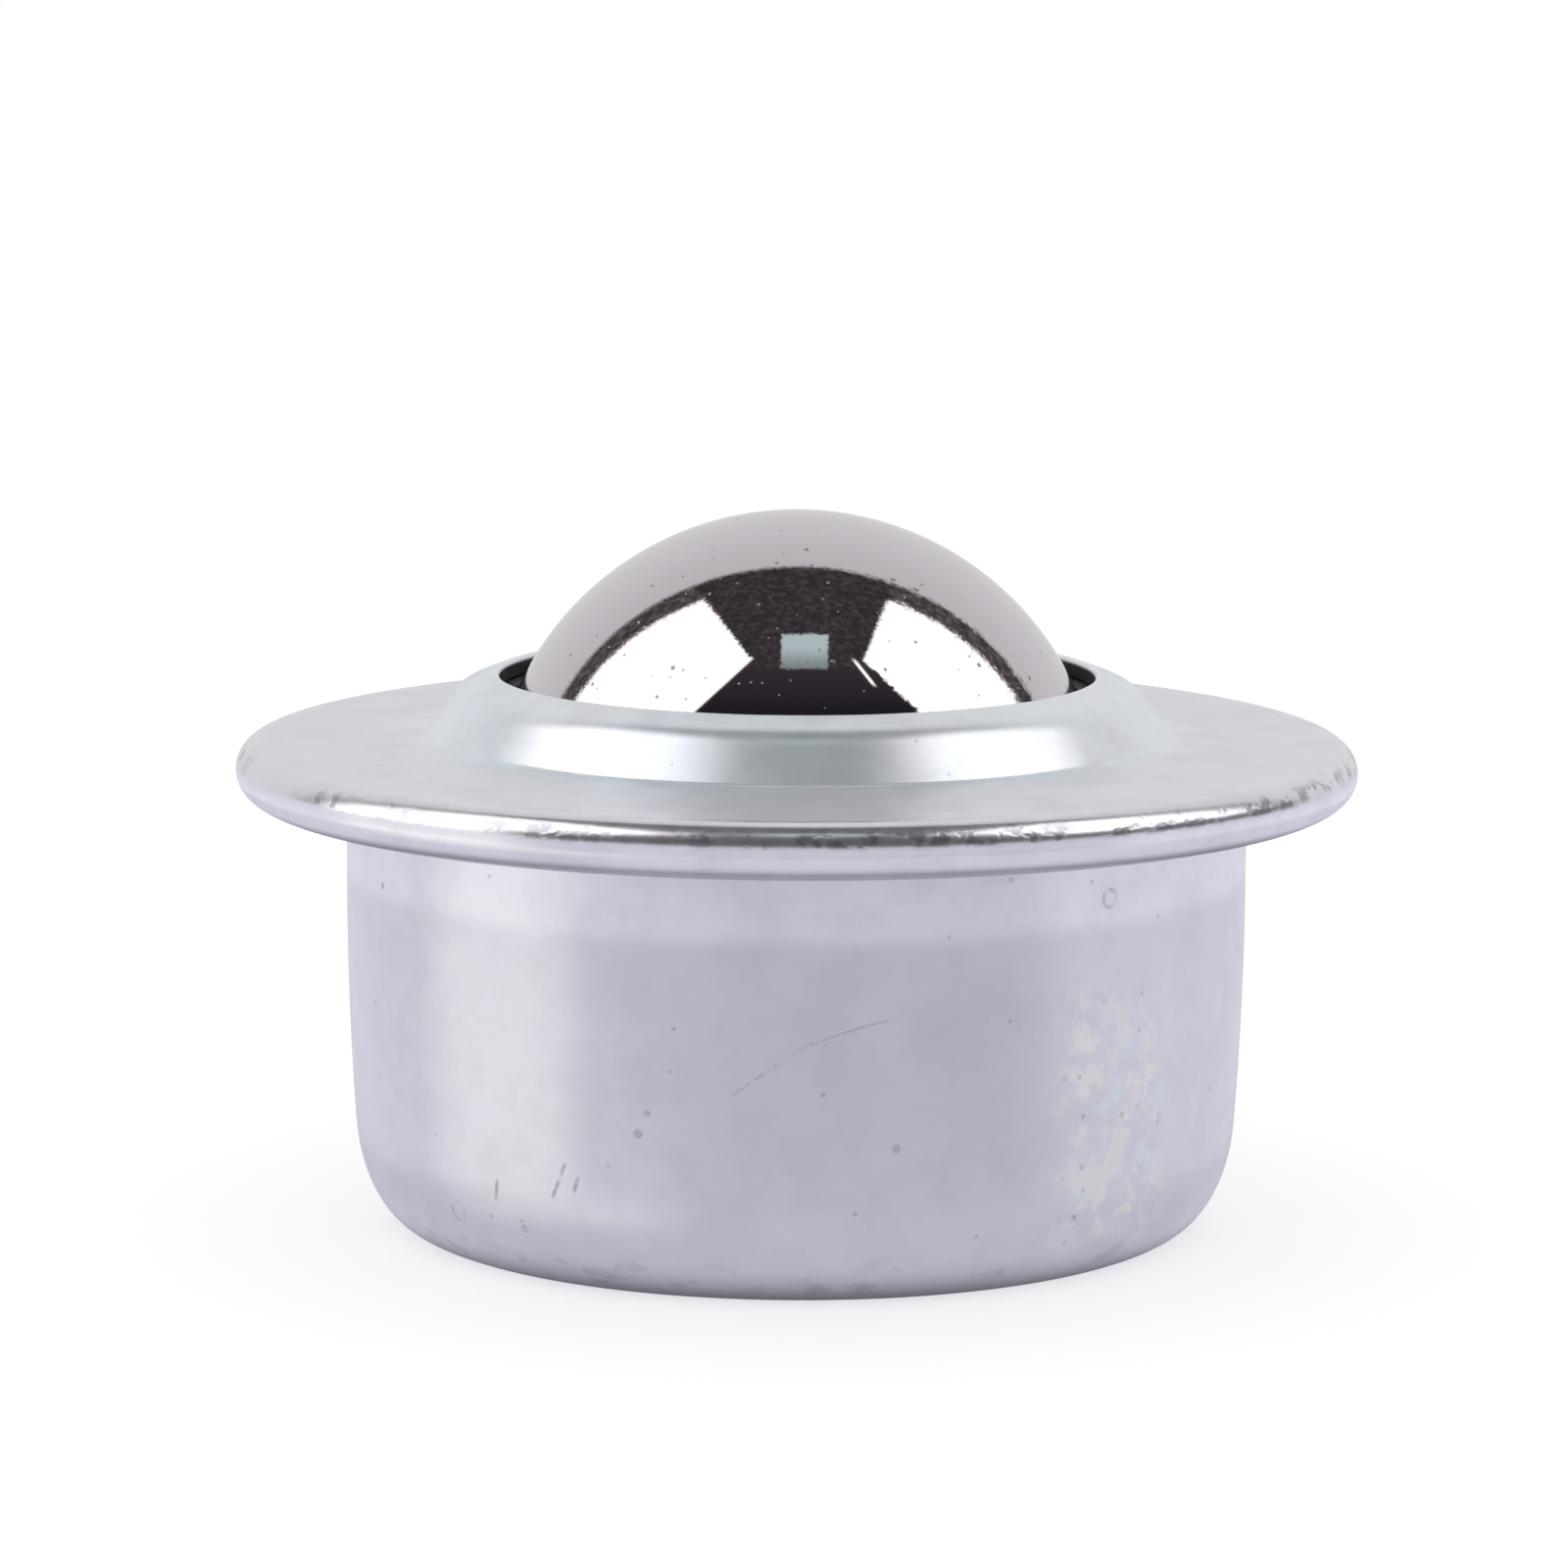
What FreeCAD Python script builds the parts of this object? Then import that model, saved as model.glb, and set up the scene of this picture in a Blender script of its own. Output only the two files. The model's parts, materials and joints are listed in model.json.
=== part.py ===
import FreeCAD, Part
import math
import os

# Flanged drop-in ball castor, in millimetres, with +Z toward the load ball.
# The origin is on the axis in the plane of the flange's underside, where the unit sits on its plate.

# Load ball, and the small balls that carry it
ball_d = 30.163
ball_drop = 1.2
run_gap = 0.05
row_count = 8
row_gap = 0.2
ring_gap = 0.04

# Race, retaining ring and wiper ring
race_sheet = 1.15
race_seat_depth = 0.15
rim_fillet_share = 0.75
keeper_sheet = 0.8
keeper_gap = 0.3
wiper_gap = 0.1
wiper_lap = 0.3
wiper_side_gap = 0.44

# Sheet metal of cup and cover
sheet = 0.9
wall_room = 1.87
register_band = 4.5
wall_taper = 0.4
corner_width = 3.4
corner_height = 5.2
flange_bend = 0.6
flange_overhang = 5.4
fold_lap = 2.9
fold_gap = 0.05
flat_width = 3.5
flange_rise = 0.4

# Collar and lip of the cover
collar_height = 2.95
collar_width = 3.65
rim_width = 2.0
rim_fall = 0.75
shoulder_round = 2.0
lip_gap = 1.375
lip_round = 0.25
crease_round = 0.3

# The largest support ball, in steps of half a millimetre, that leaves the row gap between neighbouring rows
row_turn = math.radians(90 / row_count)
row_sine = math.sin(row_turn / 2)
ball_r = ball_d / 2
ball_z = -ball_drop
row_fit_r = ((ball_r + run_gap) * row_sine - row_gap / 2) / (1 - row_sine)
support_d = math.floor(4 * row_fit_r) / 2
support_r = support_d / 2
support_path_r = ball_r + run_gap + support_r

# Race, from the support balls outward
race_in_r = support_path_r + support_r + run_gap
race_out_r = race_in_r + race_sheet
race_top = ball_z + support_r + run_gap
keeper_top = race_top + keeper_sheet
keeper_r = math.sqrt(ball_r ** 2 - (race_top - ball_z) ** 2) + keeper_gap

# Cup, from the race outward
cup_in_r = race_out_r + wall_room
register_r = cup_in_r + sheet
wall_end_r = register_r - wall_taper
register_low = -register_band
floor_top = ball_z - race_out_r + race_seat_depth
bottom = floor_top - sheet
corner_top = bottom + corner_height

# Flange and collar
cover_top = 3 * sheet
flange_r = register_r + flange_overhang
fold_inner_r = flange_r - fold_lap
fold_flat_r = flange_r - cover_top / 2
cup_flange_r = fold_flat_r - fold_gap
rise_start_r = flange_r - flat_width
collar_base_z = cover_top + flange_rise
lip_height = collar_base_z + collar_height
lip_r = math.sqrt(ball_r ** 2 - (lip_height - ball_z) ** 2) + lip_gap
collar_base_r = lip_r + collar_width
shoulder_r = lip_r + rim_width
shoulder_z = lip_height - rim_fall
side_angle = math.atan2(shoulder_z - collar_base_z, collar_base_r - shoulder_r)
rim_angle = math.atan2(rim_fall, rim_width)

# Inside of the collar, one sheet below its outside
under_r = collar_base_r - sheet * math.tan(side_angle / 2)
under_z = collar_base_z - sheet
lip_under = lip_height - sheet / math.cos(rim_angle)
inner_round = shoulder_round - sheet
inner_shift = sheet / (1 + math.cos(side_angle - rim_angle))
inner_r = shoulder_r - inner_shift * (math.sin(side_angle) + math.sin(rim_angle))
inner_z = shoulder_z - inner_shift * (math.cos(side_angle) + math.cos(rim_angle))


def point(r, z):
    return FreeCAD.Vector(r, 0, z)


def line(start, end):
    return Part.makeLine(point(*start), point(*end))


def arc(start, middle, end):
    return Part.Arc(point(*start), point(*middle), point(*end)).toShape()


def round_arc(centre, radius, start_deg, end_deg):
    """An arc about a centre in the profile plane, from one angle above the r axis to another."""
    ends = []
    for deg in (start_deg, (start_deg + end_deg) / 2, end_deg):
        turn = math.radians(deg)
        ends.append((centre[0] + radius * math.cos(turn), centre[1] + radius * math.sin(turn)))
    return arc(*ends)


def bezier(*poles):
    curve = Part.BezierCurve()
    curve.setPoles([point(*pole) for pole in poles])
    return curve.toShape()


def turned(edges):
    """Revolve a closed profile, drawn in the XZ plane, about the Z axis."""
    face = Part.Face(Part.Wire(edges))
    return face.revolve(point(0, 0), FreeCAD.Vector(0, 0, 1), 360)


def ring_edges(shape, radius, height):
    """The circular edges of a shape that have this radius and lie at this height."""
    found = []
    for edge in shape.Edges:
        curve = edge.Curve
        if curve.TypeId != "Part::GeomCircle":
            continue
        if abs(curve.Radius - radius) < 1e-4 and abs(curve.Center.z - height) < 1e-4:
            found.append(edge)
    return found


def wall_circle():
    """Centre and radius of the long arc that narrows the wall below the register band."""
    drop = register_low - corner_top
    inset = register_r - wall_end_r
    radius = (drop ** 2 + inset ** 2) / (2 * inset)
    return (register_r - radius, register_low), radius


def corner_curve(start, direction, width, end):
    """Bottom corner, tangent to the wall at its start and flat at its end."""
    fullness = 0.5523
    height = start[1] - end[1]
    first = (start[0] + direction[0] * height * fullness, start[1] + direction[1] * height * fullness)
    second = (end[0] + width * fullness, end[1])
    return bezier(start, first, second, end)


def housing_cup():
    centre, radius = wall_circle()
    end_deg = -math.degrees(math.asin((register_low - corner_top) / radius))
    lean = math.radians(end_deg)
    direction = (math.sin(lean), -math.cos(lean))
    outer_end = (wall_end_r, corner_top)
    inside = radius - sheet
    inner_end = (centre[0] + inside * math.cos(lean), centre[1] + inside * math.sin(lean))
    flat_r = wall_end_r - corner_width
    bend_z = sheet - flange_bend
    bend_r = register_r + flange_bend
    edges = [
        line((0, bottom), (flat_r, bottom)),
        corner_curve(outer_end, direction, corner_width, (flat_r, bottom)),
        round_arc(centre, radius, end_deg, 0),
        line((register_r, register_low), (register_r, bend_z)),
        round_arc((bend_r, bend_z), flange_bend, 180, 90),
        line((bend_r, sheet), (cup_flange_r, sheet)),
        line((cup_flange_r, sheet), (cup_flange_r, 2 * sheet)),
        line((cup_flange_r, 2 * sheet), (bend_r, 2 * sheet)),
        round_arc((bend_r, bend_z), flange_bend + sheet, 90, 180),
        line((cup_in_r, bend_z), (cup_in_r, register_low)),
        round_arc(centre, inside, 0, end_deg),
        corner_curve(inner_end, direction, corner_width - sheet, (flat_r, floor_top)),
        line((flat_r, floor_top), (0, floor_top)),
        line((0, floor_top), (0, bottom)),
    ]
    return turned(Part.__sortEdges__(edges))


def top_cover():
    """Collar, flange and the rim folded round the cup's flange, all of one sheet."""
    fold_centre = (fold_flat_r, cover_top / 2)
    edges = [
        line((lip_r, lip_height), (shoulder_r, shoulder_z)),
        line((shoulder_r, shoulder_z), (collar_base_r, collar_base_z)),
        line((collar_base_r, collar_base_z), (rise_start_r, cover_top)),
        line((rise_start_r, cover_top), (fold_flat_r, cover_top)),
        round_arc(fold_centre, cover_top / 2, 90, -90),
        line((fold_flat_r, 0), (fold_inner_r, 0)),
        line((fold_inner_r, 0), (fold_inner_r, sheet)),
        line((fold_inner_r, sheet), (fold_flat_r, sheet)),
        round_arc(fold_centre, sheet / 2, -90, 90),
        line((fold_flat_r, 2 * sheet), (rise_start_r, 2 * sheet)),
        line((rise_start_r, 2 * sheet), (under_r, under_z)),
        line((under_r, under_z), (inner_r, inner_z)),
        line((inner_r, inner_z), (lip_r, lip_under)),
        line((lip_r, lip_under), (lip_r, lip_height)),
    ]
    body = turned(edges)
    rounds = [
        (shoulder_round, shoulder_r, shoulder_z),
        (inner_round, inner_r, inner_z),
        (lip_round, lip_r, lip_height),
        (crease_round, collar_base_r, collar_base_z),
    ]
    for radius, r, z in rounds:
        body = body.makeFillet(radius, ring_edges(body, r, z))
    return body


def race_cup():
    seat_z = floor_top
    seat_r = math.sqrt(race_out_r ** 2 - (ball_z - seat_z) ** 2)
    seat_deg = -math.degrees(math.acos(seat_r / race_out_r))
    centre = (0, ball_z)
    rim_z = race_top - race_sheet
    rim_fillet = rim_fillet_share * (rim_z - ball_z)
    edges = [
        line((0, seat_z), (seat_r, seat_z)),
        round_arc(centre, race_out_r, seat_deg, 0),
        line((race_out_r, ball_z), (race_out_r, rim_z - rim_fillet)),
        round_arc((race_out_r + rim_fillet, rim_z - rim_fillet), rim_fillet, 180, 90),
        line((race_out_r + rim_fillet, rim_z), (cup_in_r, rim_z)),
        line((cup_in_r, rim_z), (cup_in_r, race_top)),
        line((cup_in_r, race_top), (race_in_r, race_top)),
        line((race_in_r, race_top), (race_in_r, ball_z)),
        round_arc(centre, race_in_r, 0, -90),
        line((0, ball_z - race_in_r), (0, seat_z)),
    ]
    return turned(edges)


def retaining_ring():
    edges = [
        line((keeper_r, race_top), (cup_in_r, race_top)),
        line((cup_in_r, race_top), (cup_in_r, keeper_top)),
        line((cup_in_r, keeper_top), (keeper_r, keeper_top)),
        line((keeper_r, keeper_top), (keeper_r, race_top)),
    ]
    return turned(edges)


def seal_ring():
    """Wiper with a spherical bore, held down by the inside of the collar."""
    bore = ball_r + wiper_gap
    wiper_top_r = lip_r + wiper_lap
    wiper_outer_r = under_r - wiper_side_gap
    top_z = lip_under - wiper_lap * math.tan(rim_angle)
    side_z = under_z + wiper_side_gap * math.tan(side_angle)
    low_deg = math.degrees(math.asin((keeper_top - ball_z) / bore))
    high_deg = math.degrees(math.asin((top_z - ball_z) / bore))
    low_r = bore * math.cos(math.radians(low_deg))
    high_r = bore * math.cos(math.radians(high_deg))
    edges = [
        line((low_r, keeper_top), (wiper_outer_r, keeper_top)),
        line((wiper_outer_r, keeper_top), (wiper_outer_r, side_z)),
        line((wiper_outer_r, side_z), (inner_r, inner_z)),
        line((inner_r, inner_z), (wiper_top_r, top_z)),
        line((wiper_top_r, top_z), (high_r, top_z)),
        round_arc((0, ball_z), bore, high_deg, low_deg),
    ]
    body = turned(edges)
    return body.makeFillet(inner_round, ring_edges(body, inner_r, inner_z))


def support_ball(polar_deg, round_deg):
    polar = math.radians(polar_deg)
    turn = math.radians(round_deg)
    r = support_path_r * math.sin(polar)
    z = ball_z - support_path_r * math.cos(polar)
    return Part.makeSphere(support_r, FreeCAD.Vector(r * math.cos(turn), r * math.sin(turn), z))


def ball_row(row):
    """The balls of one ring, counted from the bottom, as a list of solids. The top ring takes an even number."""
    turn = row * row_turn
    ring_r = support_path_r * math.sin(turn)
    count = int(math.pi / math.asin((support_r + ring_gap / 2) / ring_r))
    if row == row_count:
        count -= count % 2
    return [support_ball(math.degrees(turn), 360 * i / count) for i in range(count)]


def save(name, shape):
    shape.exportStep(f"parts/{name}.step")


os.makedirs("parts", exist_ok=True)
save("housing_cup", housing_cup())
save("top_cover", top_cover())
save("race_cup", race_cup())
save("retaining_ring", retaining_ring())
save("seal_ring", seal_ring())
save("load_ball", Part.makeSphere(ball_r, point(0, ball_z)))
save("support_ball_bottom", support_ball(0, 0))
for row in range(1, row_count):
    save(f"support_balls_row_{row}", Part.makeCompound(ball_row(row)))

# The top ring lies at the height of the load ball's centre, with one ball on each side of the X axis.
top_row = ball_row(row_count)
half = len(top_row) // 2
sides = [top_row[0], top_row[half]]
others = top_row[1:half] + top_row[half + 1:]
save(f"support_balls_row_{row_count}", Part.makeCompound(others))
save("support_balls_side_pair", Part.makeCompound(sides))
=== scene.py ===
import json
import math
from collections import namedtuple

import bpy
from mathutils import Matrix, Quaternion, Vector


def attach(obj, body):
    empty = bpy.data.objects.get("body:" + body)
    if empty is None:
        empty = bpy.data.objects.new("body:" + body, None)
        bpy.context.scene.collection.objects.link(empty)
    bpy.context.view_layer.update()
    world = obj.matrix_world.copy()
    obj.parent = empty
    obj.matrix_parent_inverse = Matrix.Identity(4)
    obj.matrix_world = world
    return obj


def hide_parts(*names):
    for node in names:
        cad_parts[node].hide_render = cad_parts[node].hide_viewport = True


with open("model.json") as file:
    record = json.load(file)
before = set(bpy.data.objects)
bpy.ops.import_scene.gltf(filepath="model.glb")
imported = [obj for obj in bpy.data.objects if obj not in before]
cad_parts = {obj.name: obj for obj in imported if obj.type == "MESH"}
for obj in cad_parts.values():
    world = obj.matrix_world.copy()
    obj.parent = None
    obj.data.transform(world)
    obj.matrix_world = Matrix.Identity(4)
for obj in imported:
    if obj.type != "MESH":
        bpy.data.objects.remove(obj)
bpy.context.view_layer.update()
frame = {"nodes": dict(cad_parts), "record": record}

MM = 0.001

# Sizes of the visible pieces in millimetres, the same as in the CAD source
ball_r = 30.163 / 2
ball_z = -1.2
sheet = 0.9
register_r = 22.1015
register_low = -4.5
wall_taper = 0.4
corner_width = 3.4
corner_height = 5.2
bottom = -21.2815
flange_bend = 0.6
flange_r = 27.5015
fold_lap = 2.9
fold_gap = 0.05
flat_width = 3.5
flange_rise = 0.4
collar_height = 2.95
collar_width = 3.65
rim_width = 2.0
rim_fall = 0.75
shoulder_round = 2.0
lip_gap = 1.375
lip_round = 0.25
crease_round = 0.3

cover_top = 3 * sheet
fold_flat_r = flange_r - cover_top / 2
collar_base_z = cover_top + flange_rise
lip_height = collar_base_z + collar_height
lip_r = math.sqrt(ball_r ** 2 - (lip_height - ball_z) ** 2) + lip_gap
collar_base_r = lip_r + collar_width
floor_top = bottom + sheet
corner_top = bottom + corner_height
wall_end_r = register_r - wall_taper

# How finely the pieces are drawn
turn_steps = 288
arc_step_deg = 7.5
wall_steps = 12
corner_steps = 16
ball_subdivisions = 6
sharp_edge_deg = 28
same_point = 1e-6

# A point this many millimetres inside each end of a straight run keeps the bends' shading off the run.
# A run so short that this is more than the largest share goes without.
hold = 0.04
largest_hold_share = 0.2

# Length of a curve's handle, as a share of the corner's side, that gives a quarter of an ellipse
handle_share = 0.5523

# Camera: distance and clipping in metres, angles in degrees, lens and sensor in millimetres, and shift in
# widths of the picture
camera_distance = 0.330
camera_elevation = 8.9
camera_roll = 0.29
camera_lens = 154.0
camera_sensor = 36.0
camera_shift = (-0.0081, 0.0048)
camera_clip = (0.01, 10.0)
picture_elevation = math.radians(camera_elevation)


# Profiles in the plane of radius and height

def arc_points(centre, radius, start_deg, end_deg):
    steps = max(2, math.ceil(abs(end_deg - start_deg) / arc_step_deg))
    points = []
    for i in range(steps + 1):
        turn = math.radians(start_deg + (end_deg - start_deg) * i / steps)
        points.append((centre[0] + radius * math.cos(turn), centre[1] + radius * math.sin(turn)))
    return points


def bezier_points(a, b, c, d):
    points = []
    for i in range(corner_steps + 1):
        t = i / corner_steps
        weights = ((1 - t) ** 3, 3 * t * (1 - t) ** 2, 3 * t * t * (1 - t), t ** 3)
        points.append(tuple(sum(w * p[k] for w, p in zip(weights, (a, b, c, d))) for k in (0, 1)))
    return points


def blend(a, b, share):
    return (a[0] + (b[0] - a[0]) * share, a[1] + (b[1] - a[1]) * share)


def leg(start, end):
    """A straight run, with a point just inside each end that keeps the bends' shading off it."""
    share = hold / math.dist(start, end)
    if share > largest_hold_share:
        return [start, end]
    return [start, blend(start, end, share), blend(start, end, 1 - share), end]


def joined(*runs):
    """One list of points from several runs, without the points where two runs meet twice."""
    points = []
    for run in runs:
        for p in run:
            if not points or math.dist(points[-1], p) > same_point:
                points.append(p)
    return points


def angle_of(centre, point):
    return math.degrees(math.atan2(point[1] - centre[1], point[0] - centre[0]))


def bend(before, corner, after, radius):
    """Points of the arc that rounds the corner between two straight runs."""
    first = (Vector(before) - Vector(corner)).normalized()
    second = (Vector(after) - Vector(corner)).normalized()
    half = first.angle(second) / 2
    centre = Vector(corner) + (first + second).normalized() * radius / math.sin(half)
    start = Vector(corner) + first * radius / math.tan(half)
    end = Vector(corner) + second * radius / math.tan(half)
    start_deg = angle_of(centre, start)
    swing = (angle_of(centre, end) - start_deg + 180) % 360 - 180
    return arc_points(centre, radius, start_deg, start_deg + swing)


def outline(corners):
    """A closed profile of straight runs. A corner is its radius, its height and how far it is rounded."""
    places = [corner[:2] for corner in corners]
    bends = []
    for k, (r, z, rounding) in enumerate(corners):
        if rounding:
            bends.append(bend(places[k - 1], (r, z), places[(k + 1) % len(corners)], rounding))
        else:
            bends.append([(r, z)])
    runs = []
    for k, run in enumerate(bends):
        runs.append(run)
        runs.append(leg(run[-1], bends[(k + 1) % len(bends)][0]))
    points = joined(*runs)
    if math.dist(points[0], points[-1]) < same_point:
        points.pop()
    return points


def cover_profile():
    """Collar, flange and folded rim: the outer face from the lip outwards, then the inner face back."""
    shoulder = (lip_r + rim_width, lip_height - rim_fall)
    side_angle = math.atan2(shoulder[1] - collar_base_z, collar_base_r - shoulder[0])
    rim_angle = math.atan2(rim_fall, rim_width)
    shift = sheet / (1 + math.cos(side_angle - rim_angle))
    inner_r = shoulder[0] - shift * (math.sin(side_angle) + math.sin(rim_angle))
    inner_z = shoulder[1] - shift * (math.cos(side_angle) + math.cos(rim_angle))
    fold_inner_r = flange_r - fold_lap
    inner_fold_r = fold_flat_r + sheet / 2
    rise_start_r = flange_r - flat_width
    return outline([
        (lip_r, lip_height, lip_round),
        (shoulder[0], shoulder[1], shoulder_round),
        (collar_base_r, collar_base_z, crease_round),
        (rise_start_r, cover_top, 0),
        (flange_r, cover_top, cover_top / 2),
        (flange_r, 0, cover_top / 2),
        (fold_inner_r, 0, 0),
        (fold_inner_r, sheet, 0),
        (inner_fold_r, sheet, sheet / 2),
        (inner_fold_r, 2 * sheet, sheet / 2),
        (rise_start_r, 2 * sheet, 0),
        (collar_base_r - sheet * math.tan(side_angle / 2), collar_base_z - sheet, 0),
        (inner_r, inner_z, shoulder_round - sheet),
        (lip_r, lip_height - sheet / math.cos(rim_angle), 0),
    ])


def cup_profile():
    """Bottom, corner, wall and flange: the outer face from the axis outwards, then the inner face back."""
    drop = register_low - corner_top
    radius = (drop ** 2 + wall_taper ** 2) / (2 * wall_taper)
    centre = (register_r - radius, register_low)
    lean = -math.asin(drop / radius)
    inner_r = radius - sheet
    inner_end = (centre[0] + inner_r * math.cos(lean), centre[1] + inner_r * math.sin(lean))
    flat_r = wall_end_r - corner_width
    direction = (math.sin(lean), -math.cos(lean))

    def corner(start, width, end):
        reach = (start[1] - end[1]) * handle_share
        first = (start[0] + direction[0] * reach, start[1] + direction[1] * reach)
        return bezier_points(start, first, (end[0] + width * handle_share, end[1]), end)

    def wall(r):
        turns = [lean * i / wall_steps for i in range(wall_steps + 1)]
        return [(centre[0] + r * math.cos(turn), centre[1] + r * math.sin(turn)) for turn in turns]

    turn_in = (register_r + flange_bend, sheet - flange_bend)
    edge_r = fold_flat_r - fold_gap
    return joined(
        leg((0, bottom), (flat_r, bottom)),
        corner((wall_end_r, corner_top), corner_width, (flat_r, bottom))[::-1],
        wall(radius)[::-1],
        leg((register_r, register_low), (register_r, turn_in[1])),
        arc_points(turn_in, flange_bend, 180, 90),
        leg((turn_in[0], sheet), (edge_r, sheet)),
        leg((edge_r, sheet), (edge_r, 2 * sheet)),
        leg((edge_r, 2 * sheet), (turn_in[0], 2 * sheet)),
        arc_points(turn_in, flange_bend + sheet, 90, 180),
        leg((register_r - sheet, turn_in[1]), (register_r - sheet, register_low)),
        wall(inner_r),
        corner(inner_end, corner_width - sheet, (flat_r, floor_top)),
        leg((flat_r, floor_top), (0, floor_top)),
    )


# Pieces

def turned(name, profile, closed):
    """A mesh turned about the Z axis. A point on the axis becomes a single vertex."""
    vertices = []
    rings = []
    for r, z in profile:
        if r < same_point:
            rings.append([len(vertices)] * turn_steps)
            vertices.append((0, 0, z * MM))
            continue
        rings.append(list(range(len(vertices), len(vertices) + turn_steps)))
        for i in range(turn_steps):
            turn = 2 * math.pi * i / turn_steps
            vertices.append((r * math.cos(turn) * MM, r * math.sin(turn) * MM, z * MM))
    faces = []
    count = len(rings) if closed else len(rings) - 1
    for k in range(count):
        low, high = rings[k], rings[(k + 1) % len(rings)]
        for i in range(turn_steps):
            j = (i + 1) % turn_steps
            corners = [low[i], low[j], high[j], high[i]]
            face = [c for n, c in enumerate(corners) if c not in corners[:n]]
            if len(face) > 2:
                faces.append(face)
    mesh = bpy.data.meshes.new(name)
    mesh.from_pydata(vertices, [], faces)
    mesh.shade_smooth()
    mesh.set_sharp_from_angle(angle=math.radians(sharp_edge_deg))
    obj = bpy.data.objects.new(name, mesh)
    bpy.context.scene.collection.objects.link(obj)
    return obj


def ball_piece():
    bpy.ops.mesh.primitive_ico_sphere_add(
        subdivisions=ball_subdivisions, radius=ball_r * MM, location=(0, 0, ball_z * MM)
    )
    obj = bpy.context.object
    obj.name = "ball"
    obj.data.shade_smooth()
    return obj


# Node helpers

class Net:
    """A node tree with short ways to add nodes. A mask is a number from 0 to 1."""

    def __init__(self, tree):
        self.tree = tree
        tree.nodes.clear()

    def add(self, kind, **values):
        node = self.tree.nodes.new(kind)
        for key, value in values.items():
            setattr(node, key, value)
        return node

    def put(self, socket, value):
        """Link a node's output to the socket, or set a plain value on it."""
        if hasattr(value, "is_output"):
            self.tree.links.new(value, socket)
        else:
            socket.default_value = value

    def math(self, operation, a, b=0.0, c=0.0, clamp=False):
        node = self.add("ShaderNodeMath", operation=operation, use_clamp=clamp)
        for socket, value in zip(node.inputs, (a, b, c)):
            self.put(socket, value)
        return node.outputs[0]

    def vector(self, operation, a, b=(0, 0, 0), output=0):
        node = self.add("ShaderNodeVectorMath", operation=operation)
        self.put(node.inputs[0], a)
        self.put(node.inputs[1], b)
        return node.outputs[output]

    def hypot(self, a, b):
        """Distance from the origin of the place with these two coordinates."""
        return self.math("SQRT", self.math("ADD", self.math("MULTIPLY", a, a), self.math("MULTIPLY", b, b)))

    def line(self, value, start, slope):
        """A straight line: start plus slope times the value."""
        return self.math("MULTIPLY_ADD", value, slope, start)

    def wobble(self, pattern, size):
        """A pattern from 0 to 1 as a shift by up to this size to both sides."""
        return self.line(pattern, -size, 2 * size)

    def share(self, mask, amount):
        return self.math("MULTIPLY", mask, amount)

    def rise(self, value, low, high):
        """0 below low, 1 above high, with a smooth step between them."""
        node = self.add("ShaderNodeMapRange", interpolation_type="SMOOTHSTEP")
        self.put(node.inputs["Value"], value)
        self.put(node.inputs["From Min"], low)
        self.put(node.inputs["From Max"], high)
        return node.outputs[0]

    def fall(self, value, low, high):
        """1 below low, 0 above high, with a smooth step between them."""
        return self.invert(self.rise(value, low, high))

    def band(self, value, low, high, soft):
        """1 between low and high, with soft ends."""
        up = self.rise(value, low - soft, low + soft)
        down = self.rise(value, high - soft, high + soft)
        return self.math("SUBTRACT", up, down, clamp=True)

    def both(self, *masks):
        result = masks[0]
        for mask in masks[1:]:
            result = self.math("MULTIPLY", result, mask)
        return result

    def most(self, *masks):
        result = masks[0]
        for mask in masks[1:]:
            result = self.math("MAXIMUM", result, mask)
        return result

    def invert(self, mask):
        return self.math("SUBTRACT", 1.0, mask)

    # The mix node repeats the names of its sockets for every kind of data, so they are reached by number.

    def mix(self, mask, a, b):
        """A colour between a and b."""
        node = self.add("ShaderNodeMix", data_type="RGBA")
        self.put(node.inputs[0], mask)
        self.put(node.inputs[6], a)
        self.put(node.inputs[7], b)
        return node.outputs[2]

    def mix_value(self, mask, a, b):
        """A number between a and b."""
        node = self.add("ShaderNodeMix", data_type="FLOAT")
        self.put(node.inputs[0], mask)
        self.put(node.inputs[2], a)
        self.put(node.inputs[3], b)
        return node.outputs[0]

    def mix_shader(self, mask, a, b):
        node = self.add("ShaderNodeMixShader")
        for socket, value in zip(node.inputs, (mask, a, b)):
            self.put(socket, value)
        return node.outputs[0]

    def layered(self, color, *layers):
        """A colour with others laid over it in turn, each given as its mask and its colour."""
        for mask, over in layers:
            color = self.mix(mask, color, over)
        return color

    def noise(self, where, scale, detail=2.0, roughness=0.5):
        node = self.add("ShaderNodeTexNoise")
        self.put(node.inputs["Vector"], where)
        node.inputs["Scale"].default_value = scale
        node.inputs["Detail"].default_value = detail
        node.inputs["Roughness"].default_value = roughness
        return node.outputs["Fac"]

    def split(self, vector):
        node = self.add("ShaderNodeSeparateXYZ")
        self.put(node.inputs[0], vector)
        return node.outputs


def grey(value):
    return (value, value, value, 1)


def lilac(value):
    return (value, 0.978 * value, 1.10 * value, 1)


# Studio: two tall soft panels left and right, a dark room between them and a pale sweep all round

# It is laid out as a mirror ball in the object's place shows it. Across and above are places on that ball,
# 0 in its middle and 1 at its outline. A step is where a soft change begins and ends. Three numbers are where
# something begins, where it ends, and how soft its ends are. A noise is its scale, detail and roughness.
# The least values keep a division and a root away from nothing.
ripple = 0.012
ripple_noise = (34.0, 4.0, 0.6)
least_reach = 0.001
least_square = 0.01

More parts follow.
